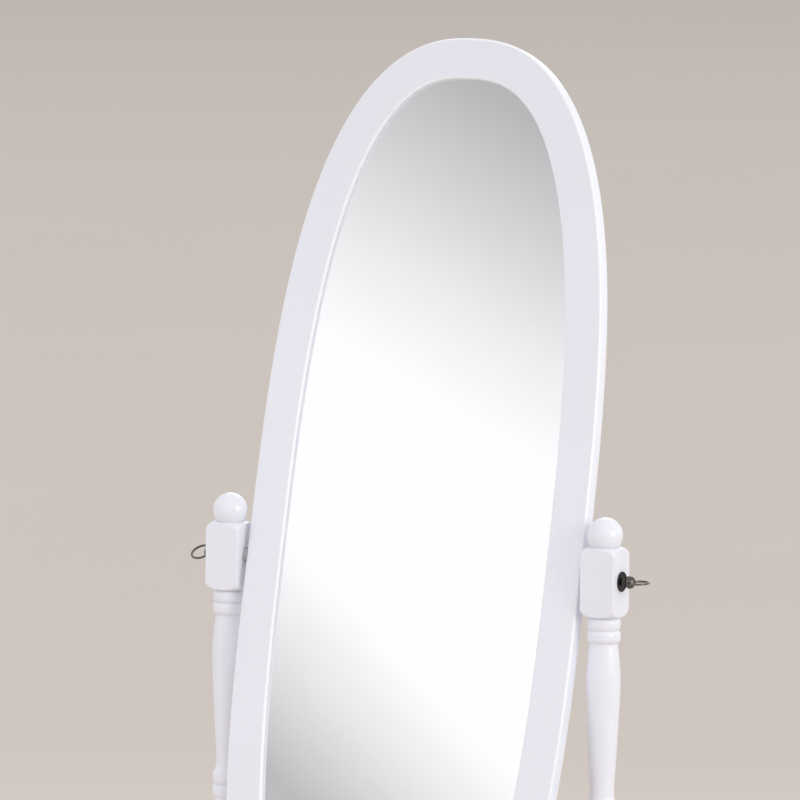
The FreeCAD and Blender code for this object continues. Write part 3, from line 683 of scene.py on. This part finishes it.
def post_outline():
    """Ball, block, beads, vase, rings, vase, beads, block and drop, with heights above the floor."""
    pivot = PIVOT.z / MM
    ball_drop = math.sqrt(BALL_RADIUS ** 2 - NECK_RADIUS ** 2)
    outline = Outline(0, POST_TOP / MM)
    outline.dome(NECK_RADIUS, pivot + BALL_CENTRE - ball_drop)
    shoulder_out(outline, pivot + BLOCK_TOP)
    shoulder_in(outline, pivot + BLOCK_BOTTOM)
    outline.line(NECK_RADIUS, pivot + BLOCK_BOTTOM - NECK_HEIGHT)

    beads_middle = (BLOCK_BOTTOM - NECK_HEIGHT + BEADS_BOTTOM) / 2
    outline.bead(pivot + beads_middle, BEAD_CREASE_RADIUS, BEAD_RADIUS)
    outline.bead(pivot + BEADS_BOTTOM, VASE_END_RADIUS, BEAD_RADIUS)
    upper_vase = [(radius, pivot + height) for radius, height in UPPER_VASE]
    outline.curve(upper_vase + [(WAIST_RADIUS, pivot + UPPER_WAIST)])
    flare = UPPER_WAIST - RINGS_TOP
    hollow = (WAIST_RADIUS + FLARE_HOLLOW, pivot + RINGS_TOP + FLARE_BEND_SHARE * flare)
    outline.arc(hollow, (NECK_RADIUS, pivot + RINGS_TOP))

    outline.bead(pivot + (RINGS_TOP + RINGS_BOTTOM) / 2, RING_CREASE_RADIUS, RING_RADIUS)
    outline.bead(pivot + RINGS_BOTTOM, NECK_RADIUS, RING_RADIUS)
    draw_in = RINGS_BOTTOM - LOWER_WAIST
    hollow = (WAIST_RADIUS + FLARE_HOLLOW, pivot + RINGS_BOTTOM - FLARE_BEND_SHARE * draw_in)
    outline.arc(hollow, (WAIST_RADIUS, pivot + LOWER_WAIST))
    lower_vase = [(radius, pivot + height) for radius, height in LOWER_VASE]
    outline.curve(lower_vase + [(VASE_END_RADIUS, pivot + LOWER_BEADS_TOP)])

    block_top = LOWER_BLOCK_TOP + NECK_HEIGHT
    outline.bead((pivot + LOWER_BEADS_TOP + block_top) / 2, BEAD_CREASE_RADIUS, BEAD_RADIUS)
    outline.bead(block_top, NECK_RADIUS, BEAD_RADIUS)
    shoulder_out(outline, LOWER_BLOCK_TOP)
    shoulder_in(outline, LOWER_BLOCK_BOTTOM)
    outline.line(NECK_RADIUS, LOWER_BLOCK_BOTTOM - NECK_HEIGHT)
    outline.bead(DROP_BEAD_BOTTOM, DROP_CREASE_RADIUS, RING_RADIUS)
    outline.dome(0, POST_BOTTOM / MM)
    return outline


def corner_columns():
    """Angles round a post, close together at the square blocks' corners."""
    angles = {0, 90, 180, 270}
    for corner in (45, 135, 225, 315):
        for offset in CORNER_OFFSETS:
            angles.add(round((corner + offset) % 360, 3))
            angles.add(round((corner - offset) % 360, 3))
    return [math.radians(angle) for angle in sorted(angles)]


def square_or_round(radius, angle):
    """The post's outline cut by its square stock, with softened corners and arrises."""
    half = HALF_BLOCK / MM
    if radius <= half - STOCK_ALLOWANCE:
        return radius
    across = half / max(abs(math.cos(angle)), SMALLEST_SHARE)
    along = half / max(abs(math.sin(angle)), SMALLEST_SHARE)
    stock = soft_minimum(across, along, CORNER_SOFTNESS)
    return soft_minimum(radius, stock, ARRIS_SOFTNESS)


def build_posts():
    """The two turned posts, which are alike."""
    vertices, faces = lathe(post_outline(), corner_columns(), square_or_round)
    for side_name, side in SIDES.items():
        placed = [vertex + Vector((side * POST_X, 0, 0)) for vertex in vertices]
        make_piece(
            side_name + "_turned_post", placed, faces, "turned_lacquer",
            body="stand", replaced=side_name + "_post",
        )


# ---- Oval frame ------------------------------------------------------------------------------

# The front lip covers the glass's edge; behind it are a recess for the glass and a wider one for
# the back panel. Both recesses are measured outwards from the opening.
FRAME_ROUNDING = 3 * MM
BACK_ROUNDING = 2 * MM
LIP_THICKNESS = 6 * MM
LIP_WIDTH = 8 * MM
LIP_ARRIS = 0.4 * MM
GLASS_RECESS_DEPTH = 5 * MM
PANEL_RECESS_WIDTH = 22 * MM
PANEL_RECESS_ARRIS = 0.5 * MM
ROUNDING_STEPS = 7
FACE_SHARES = (0.15, 0.35, 0.5, 0.65, 0.85)
FRAME_STATIONS = 360


def oval_point(half_width, half_height, powers, turn):
    """A point of an oval round the mirror's centre, as (across, up)."""
    across = math.cos(turn)
    along = math.sin(turn)
    side_power, end_power = powers
    power = side_power * across ** 2 + end_power * along ** 2
    reach = (abs(across) ** power + abs(along) ** power) ** (-1 / power)
    return half_width * across * reach, half_height * along * reach


def outer_oval(inset, turn):
    """A point of the frame's outer edge, drawn in by an inset."""
    return oval_point(FRAME_HALF_WIDTH - inset, FRAME_HALF_HEIGHT - inset, FRAME_OVAL_POWERS, turn)


def opening_oval(inset, turn):
    """A point of the frame's opening, drawn out into the wood by an inset."""
    return oval_point(OPENING_HALF_WIDTH + inset, OPENING_HALF_HEIGHT + inset, OPENING_OVAL_POWERS, turn)


def flat_face(share, turn):
    """A point of the flat face, at a share of the way from the outer rounding to the opening's."""
    outer_across, outer_up = outer_oval(FRAME_ROUNDING, turn)
    inner_across, inner_up = opening_oval(FRAME_ROUNDING, turn)
    return (
        outer_across + (inner_across - outer_across) * share,
        outer_up + (inner_up - outer_up) * share,
    )


def frame_section():
    """The frame's section, all the way round, as (oval function, its inset or share, depth)."""
    front = HALF_FRAME
    back = -HALF_FRAME
    lip_back = front - LIP_THICKNESS
    glass_recess = lip_back - GLASS_RECESS_DEPTH
    quarter = [math.pi / 2 * index / ROUNDING_STEPS for index in range(ROUNDING_STEPS + 1)]
    section = []
    for turn in quarter:
        depth = front - FRAME_ROUNDING + FRAME_ROUNDING * math.sin(turn)
        section.append((outer_oval, FRAME_ROUNDING * (1 - math.cos(turn)), depth))
    for share in FACE_SHARES:
        section.append((flat_face, share, front))
    for turn in quarter:
        depth = front - FRAME_ROUNDING + FRAME_ROUNDING * math.cos(turn)
        section.append((opening_oval, FRAME_ROUNDING * (1 - math.sin(turn)), depth))
    section.append((opening_oval, 0.0, lip_back + LIP_ARRIS))
    section.append((opening_oval, LIP_ARRIS, lip_back))
    section.append((opening_oval, LIP_WIDTH, lip_back))
    section.append((opening_oval, LIP_WIDTH, glass_recess))
    section.append((opening_oval, LIP_WIDTH + LIP_ARRIS, glass_recess))
    section.append((opening_oval, PANEL_RECESS_WIDTH, glass_recess))
    section.append((opening_oval, PANEL_RECESS_WIDTH, back + PANEL_RECESS_ARRIS))
    section.append((opening_oval, PANEL_RECESS_WIDTH + PANEL_RECESS_ARRIS, back))
    for turn in quarter:
        depth = back + BACK_ROUNDING - BACK_ROUNDING * math.cos(turn)
        section.append((outer_oval, BACK_ROUNDING * (1 - math.sin(turn)), depth))
    return section


def build_frame():
    """The oval frame: its section, carried round the mirror."""
    section = frame_section()
    vertices = []
    for turn in even_turn(FRAME_STATIONS):
        for oval, inset, depth in section:
            across, up = oval(inset, turn)
            place = PIVOT + MIRROR_UP * (up + OVAL_CENTRE_ABOVE_PIVOT) + MIRROR_FRONT * depth
            vertices.append(place + Vector((across, 0, 0)))
    faces = grid_faces(FRAME_STATIONS, len(section), closed_rows=True)
    make_piece(
        "oval_mirror_frame", vertices, faces, "frame_lacquer",
        body="mirror", replaced="oval_frame",
    )


# ---- Thumb screws and washers ----------------------------------------------------------------

# Millimetres. Distances along a screw run outwards from its collar's foot.
WASHER_THICKNESS = 1.6
FACE_GAP = 0.1
SHANK_RADIUS = 3.0
SHANK_LENGTH = 63.3
THREAD_DEPTH = 0.32
THREAD_PITCH = 1.0
COLLAR_FOOT_RADIUS = 5.8
COLLAR_RADIUS = 7.0
COLLAR_WIDEST = 3.6
COLLAR_END = 8.4
COLLAR_END_RADIUS = 4.2
NOSE_END = 10.0
RING_CENTRE = 14.4
RING_HALF_LENGTH = 10.3
RING_HALF_WIDTH = 12.3
RING_WIRE_RADIUS = 1.25
RING_STATIONS = 120
WIRE_COLUMNS = 18
STEM_COLUMNS = 32
STEM_STEP = 0.25
THREAD_STEP = 0.2
SHANK_POINT_LENGTH = 1.0
SHANK_POINT_INSET = 0.8
SCREW_BACKED_OFF = {"left": 0.0, "right": 4.6}

# Degrees from level
RING_TURN = {"left": -29.0, "right": -1.2}

# Millimetres. Distances along a washer run outwards from the post's face.
WASHER_RADIUS = 11.0
WASHER_BORE_RADIUS = 3.05
WASHER_TOP = 1.65
WASHER_RIM_CROWN = 10.1
DISH_OUTER_RADIUS = 8.6
DISH_INNER_RADIUS = 6.2
DISH_HEIGHT = 1.2
WASHER_HUB_RADIUS = 4.4
WASHER_STEP = 0.2
WASHER_COLUMNS = 72


def screw_place(side, distance, ring_turn):
    """Carries a piece drawn round +Z, with its ring in the XZ plane, to a post's outer face."""
    along = Vector((side, 0, 0))
    turn = math.radians(ring_turn)
    ring_side = Vector((0, -math.cos(turn), math.sin(turn)))
    basis = Matrix((ring_side, along.cross(ring_side), along)).transposed().to_4x4()
    return Matrix.Translation(Vector((side * (POST_OUTER_FACE + distance * MM), 0, PIVOT.z))) @ basis


def build_screw_stem(side_name, place):
    """The nose, the barrel collar and the threaded shank."""
    outline = Outline(0, NOSE_END, step=STEM_STEP)
    outline.dome(COLLAR_END_RADIUS, COLLAR_END)
    outline.arc((COLLAR_RADIUS, COLLAR_WIDEST), (COLLAR_FOOT_RADIUS, 0))
    outline.line(SHANK_RADIUS, 0)
    rows = [(max(radius, AXIS_RADIUS), height, 0.0) for radius, height in outline.points]
    height = -THREAD_STEP
    while height > SHANK_POINT_LENGTH - SHANK_LENGTH:
        rows.append((SHANK_RADIUS, height, THREAD_DEPTH))
        height -= THREAD_STEP
    rows.append((SHANK_RADIUS - SHANK_POINT_INSET, -SHANK_LENGTH, 0.0))
    rows.append((AXIS_RADIUS, -SHANK_LENGTH, 0.0))
    columns = even_turn(STEM_COLUMNS)
    vertices = []
    for radius, height, thread in rows:
        for angle in columns:
            phase = (height / THREAD_PITCH + angle / math.tau) % 1
            reach = (radius - thread * abs(2 * phase - 1)) * MM
            vertices.append(place @ Vector((reach * math.cos(angle), reach * math.sin(angle), height * MM)))
    faces = grid_faces(len(rows), len(columns))
    faces.append(tuple(range(len(columns))))
    faces.append(tuple(range(len(vertices) - len(columns), len(vertices))))
    make_piece(
        side_name + "_screw_stem", vertices, faces, "antique_bronze",
        body=side_name + "_thumb_screw", replaced=side_name + "_thumb_screw",
    )


def build_screw_ring(side_name, place):
    """The oval ring of wire through the collar's nose."""
    ring_centre = Vector((0, 0, RING_CENTRE))
    beside = Vector((0, 1, 0))
    vertices = []
    for turn in even_turn(RING_STATIONS):
        wide = RING_HALF_WIDTH * math.cos(turn)
        long = RING_HALF_LENGTH * math.sin(turn)
        tangent = Vector((-RING_HALF_WIDTH * math.sin(turn), 0, RING_HALF_LENGTH * math.cos(turn)))
        tangent.normalize()
        outward = Vector((tangent.z, 0, -tangent.x))
        for angle in even_turn(WIRE_COLUMNS):
            offset = outward * math.cos(angle) + beside * math.sin(angle)
            local = ring_centre + Vector((wide, 0, long)) + offset * RING_WIRE_RADIUS
            vertices.append(place @ (local * MM))
    faces = grid_faces(RING_STATIONS, WIRE_COLUMNS, closed_rows=True)
    make_piece(
        side_name + "_screw_ring", vertices, faces, "antique_bronze",
        body=side_name + "_thumb_screw", replaced=None,
    )


def build_washer(side_name, side):
    """The black washer: a thin disc with a rolled rim and a slight dish, round the screw's shank."""
    outline = Outline(WASHER_BORE_RADIUS, FACE_GAP, step=WASHER_STEP)
    outline.line(WASHER_RADIUS - 0.4, FACE_GAP)
    outline.arc((WASHER_RADIUS - 0.05, FACE_GAP + 0.25), (WASHER_RADIUS, FACE_GAP + 0.6))
    outline.arc((WASHER_RADIUS - 0.2, WASHER_TOP - 0.3), (WASHER_RIM_CROWN, WASHER_TOP))
    outline.arc((WASHER_RIM_CROWN - 0.8, WASHER_TOP - 0.1), (DISH_OUTER_RADIUS, DISH_HEIGHT + 0.05))
    outline.line(DISH_INNER_RADIUS, DISH_HEIGHT)
    outline.arc((DISH_INNER_RADIUS - 1, DISH_HEIGHT + 0.2), (WASHER_HUB_RADIUS, WASHER_TOP))
    outline.line(WASHER_BORE_RADIUS, WASHER_TOP)
    columns = even_turn(WASHER_COLUMNS)
    place = screw_place(side, 0, 0)
    vertices = []
    for radius, height in outline.points:
        for angle in columns:
            local = Vector((radius * math.cos(angle), radius * math.sin(angle), height)) * MM
            vertices.append(place @ local)
    faces = grid_faces(len(outline.points), len(columns), closed_rows=True)
    make_piece(
        side_name + "_dished_washer", vertices, faces, "black_washer",
        body=side_name + "_washer", replaced=side_name + "_washer",
    )


def build_screws_and_washers():
    """Each thumb screw stands off its washer by as much as it is backed off."""
    for side_name, side in SIDES.items():
        seat = WASHER_THICKNESS + 2 * FACE_GAP + SCREW_BACKED_OFF[side_name]
        screw = screw_place(side, seat, RING_TURN[side_name])
        build_screw_stem(side_name, screw)
        build_screw_ring(side_name, screw)
        build_washer(side_name, side)


# ---- CAD nodes shown as they are -------------------------------------------------------------

def dress_cad_nodes():
    """Procedural materials for the CAD nodes that are shown as they are."""
    looks = {
        "lower_stretcher": "rail_lacquer",
        "mirror_glass": "mirror_silver",
        "backing_sheet": "backing_foam",
        "back_panel": "hardboard",
        "back_panel_screws": "zinc_steel",
        "leg_bolts": "zinc_steel",
        "stretcher_bolts": "zinc_steel",
        "leg_dowels": "dowel_wood",
        "leg_bolt_inserts": "insert_brass",
        "stretcher_inserts": "insert_brass",
        "left_frame_insert": "insert_brass",
        "right_frame_insert": "insert_brass",
        "bolt_cover_caps": "white_plastic",
        "foot_glides": "glide_nylon",
        "left_spacer": "spacer_nylon",
        "right_spacer": "spacer_nylon",
    }
    for side_name in SIDES:
        for end_name in ("front", "rear"):
            looks[f"{side_name}_{end_name}_leg"] = "flat_lacquer"
    for node, look in looks.items():
        dress(frame["nodes"][node], look)


# ---- Camera, floor and light -----------------------------------------------------------------

CAMERA_AZIMUTH = math.radians(27.47)
CAMERA_ELEVATION = math.radians(5.294)
CAMERA_ROLL = math.radians(0.616)
CAMERA_PLACE = PIVOT + Vector((3.3076, -6.4006, 0.8498))
LENS_MM = 300
SENSOR_WIDTH_MM = 36
CAMERA_REACH = 200

SHEET_CORNERS = 64
FLOOR_RADIUS = 60
FLOOR_PALE = (0.675, 0.616, 0.553)
FLOOR_CLOUD = (0.662, 0.605, 0.544)
# Painted shade: the floor's colour far from the middle
FLOOR_FAR_PAINTED_SHADE = (0.555, 0.508, 0.460)
FLOOR_FADE_FROM = 9
FLOOR_FADE_TO = 45

WORLD_LEFT = (0.72, 0.72, 0.745)
WORLD_RIGHT = (0.86, 0.858, 0.86)
WORLD_STRENGTH = 1.14

CARD_DISTANCE = 1.8
CARD_HALF_WIDTH = 1.3
CARD_HALF_HEIGHT = 1.7
CARD_FADE_FROM = 0.9
CARD_FADE_TO = 1.3
CARD_TINT = (1.0, 0.978, 1.0)
CARD_STRENGTH = 1.078

# Directions across and up the card along which its light falls off, and (distance, level) stops
TOP_FADE_DIRECTION = (0.588, 1.0)
TOP_FADE = [(0.195, 1.0), (0.35, 0.85), (0.50, 0.66), (0.66, 0.48)]
FOOT_FADE_DIRECTION = (-0.722, -0.691)
FOOT_FADE = [(0.125, 1.0), (0.24, 0.79), (0.36, 0.51)]

LIGHTS_AIM = Vector((0, 0, 0.8))


def camera_axes():
    """The camera's right, up and forward directions."""
    flat = math.cos(CAMERA_ELEVATION)
    forward = Vector((
        -math.sin(CAMERA_AZIMUTH) * flat,
        math.cos(CAMERA_AZIMUTH) * flat,
        -math.sin(CAMERA_ELEVATION),
    ))
    level = Vector((math.cos(CAMERA_AZIMUTH), math.sin(CAMERA_AZIMUTH), 0))
    rise = level.cross(forward)
    right = level * math.cos(CAMERA_ROLL) + rise * math.sin(CAMERA_ROLL)
    up = rise * math.cos(CAMERA_ROLL) - level * math.sin(CAMERA_ROLL)
    return right, up, forward


def build_camera():
    """A long lens, slightly above the tilt axis and to the right of the mirror."""
    right, up, forward = camera_axes()
    data = bpy.data.cameras.new("camera")
    data.sensor_width = SENSOR_WIDTH_MM
    data.lens = LENS_MM
    data.clip_end = CAMERA_REACH
    camera = bpy.data.objects.new("camera", data)
    basis = Matrix((right, up, -forward)).transposed().to_4x4()
    camera.matrix_world = Matrix.Translation(CAMERA_PLACE) @ basis
    bpy.context.scene.collection.objects.link(camera)
    bpy.context.scene.camera = camera


def flat_disc(name, centre, right, up, half_width, half_height):
    """An oval sheet for the floor or the reflection card."""
    vertices = [
        centre + right * (half_width * math.cos(turn)) + up * (half_height * math.sin(turn))
        for turn in even_turn(SHEET_CORNERS)
    ]
    mesh = bpy.data.meshes.new(name)
    mesh.from_pydata(vertices, [], [tuple(range(SHEET_CORNERS))])
    sheet = bpy.data.objects.new(name, mesh)
    bpy.context.scene.collection.objects.link(sheet)
    return sheet


def build_floor():
    """A plain pale seamless floor, wide enough for every view, with painted shade that darkens it far off.
    """
    across = Vector((1, 0, 0))
    along = Vector((0, 1, 0))
    floor = flat_disc("floor", Vector((0, 0, 0)), across, along, FLOOR_RADIUS, FLOOR_RADIUS)
    shader = Shader("floor_look")
    shader.set(Roughness=0.85, Specular_IOR_Level=0.1)
    clouds = shader.noise(0.35, detail=3)
    near = shader.mix(shader.spread(clouds, 0.3, 0.7, 0, 1), FLOOR_PALE, FLOOR_CLOUD)
    distance = shader.node("ShaderNodeVectorMath", operation="LENGTH")
    shader.link(shader.place, distance.inputs[0])
    # Painted shade: the floor darkens from FLOOR_FADE_FROM to FLOOR_FADE_TO metres out
    far_shade_share = shader.spread(distance.outputs["Value"], FLOOR_FADE_FROM, FLOOR_FADE_TO, 0, 1)
    shader.colour(shader.mix(far_shade_share, near, FLOOR_FAR_PAINTED_SHADE))
    floor.data.materials.append(shader.material)


def reflected(direction):
    """A direction as the resting mirror throws it back."""
    return direction - MIRROR_FRONT * (2 * direction.dot(MIRROR_FRONT))


def build_reflection_card():
    """A soft white card in front of the mirror, which only reflections see.

    It fades to grey at its top and at its lower left, as the light in a studio does."""
    card_right, card_up, bounce = (reflected(axis) for axis in camera_axes())
    centre = PIVOT + bounce * CARD_DISTANCE
    card = flat_disc("reflection_card", centre, card_right, card_up, CARD_HALF_WIDTH, CARD_HALF_HEIGHT)
    for ray in ("camera", "diffuse", "shadow", "transmission", "volume_scatter"):
        setattr(card, "visible_" + ray, False)
    card.data.materials.append(card_look(centre, card_right, card_up))


def card_look(centre, card_right, card_up):
    """Light that falls off in two directions, on a card that is clear at its edge."""
    shader = Shader("reflection_card_look")
    offset = shader.node("ShaderNodeVectorMath", operation="SUBTRACT")
    offset.inputs[1].default_value = centre
    shader.link(shader.place, offset.inputs[0])
    distances = []
    for direction in (card_right, card_up):
        product = shader.node("ShaderNodeVectorMath", operation="DOT_PRODUCT")
        product.inputs[1].default_value = direction
        shader.link(offset.outputs["Vector"], product.inputs[0])
        distances.append(product.outputs["Value"])

    levels = []
    for fade_direction, stops in ((TOP_FADE_DIRECTION, TOP_FADE), (FOOT_FADE_DIRECTION, FOOT_FADE)):
        across, up = (shader.maths("MULTIPLY", *pair) for pair in zip(distances, fade_direction))
        levels.append(shader.ramp(shader.maths("ADD", across, up), stops))
    brightness = shader.maths("MULTIPLY", shader.maths("MINIMUM", *levels), CARD_STRENGTH)
    emission = shader.node("ShaderNodeEmission")
    emission.inputs["Color"].default_value = (*CARD_TINT, 1)
    shader.link(brightness, emission.inputs["Strength"])

    from_centre = shader.node("ShaderNodeVectorMath", operation="LENGTH")
    shader.link(offset.outputs["Vector"], from_centre.inputs[0])
    see_through = shader.spread(from_centre.outputs["Value"], CARD_FADE_FROM, CARD_FADE_TO, 0, 1)
    clear = shader.node("ShaderNodeBsdfTransparent")
    blend = shader.node("ShaderNodeMixShader")
    shader.link(see_through, blend.inputs[0])
    shader.link(emission.outputs[0], blend.inputs[1])
    shader.link(clear.outputs[0], blend.inputs[2])
    shader.link(blend.outputs[0], shader.tree.nodes["Material Output"].inputs["Surface"])
    shader.tree.nodes.remove(shader.surface)
    return shader.material


def build_world():
    """Even white studio light, a little brighter on the right."""
    world = bpy.data.worlds.new("studio")
    world.use_nodes = True
    tree = world.node_tree
    background = tree.nodes["Background"]
    place = tree.nodes.new("ShaderNodeTexCoord")
    split = tree.nodes.new("ShaderNodeSeparateXYZ")
    across = tree.nodes.new("ShaderNodeMapRange")
    ramp = tree.nodes.new("ShaderNodeValToRGB")
    ramp.color_ramp.elements[0].color = (*WORLD_LEFT, 1)
    ramp.color_ramp.elements[1].color = (*WORLD_RIGHT, 1)
    across.inputs["From Min"].default_value = -1
    tree.links.new(place.outputs["Generated"], split.inputs[0])
    tree.links.new(split.outputs["X"], across.inputs["Value"])
    tree.links.new(across.outputs["Result"], ramp.inputs["Fac"])
    tree.links.new(ramp.outputs["Color"], background.inputs["Color"])
    background.inputs["Strength"].default_value = WORLD_STRENGTH
    bpy.context.scene.world = world


def soft_light(name, place, size, power, colour=(1, 1, 1)):
    """A square area light that looks at the middle of the object."""
    data = bpy.data.lights.new(name, "AREA")
    data.shape = "SQUARE"
    data.size = size
    data.energy = power
    data.color = colour
    light = bpy.data.objects.new(name, data)
    light.location = place
    light.rotation_euler = (LIGHTS_AIM - place).to_track_quat("-Z", "Y").to_euler()
    bpy.context.scene.collection.objects.link(light)


def build_lights():
    """A soft key on the right, a weaker fill on the left and a light from behind."""
    soft_light("key", Vector((3.8, -0.6, 1.9)), size=1.6, power=42)
    soft_light("fill", Vector((-2.6, -3.4, 1.1)), size=2.2, power=26, colour=(0.97, 0.97, 1.0))
    soft_light("back", Vector((-1.2, 3.0, 2.8)), size=1.8, power=22)


# ---- The scene -------------------------------------------------------------------------------

bpy.context.scene.view_settings.view_transform = "Standard"
build_camera()
build_floor()
build_world()
build_lights()
build_reflection_card()
dress_cad_nodes()
build_posts()
build_frame()
build_screws_and_washers()
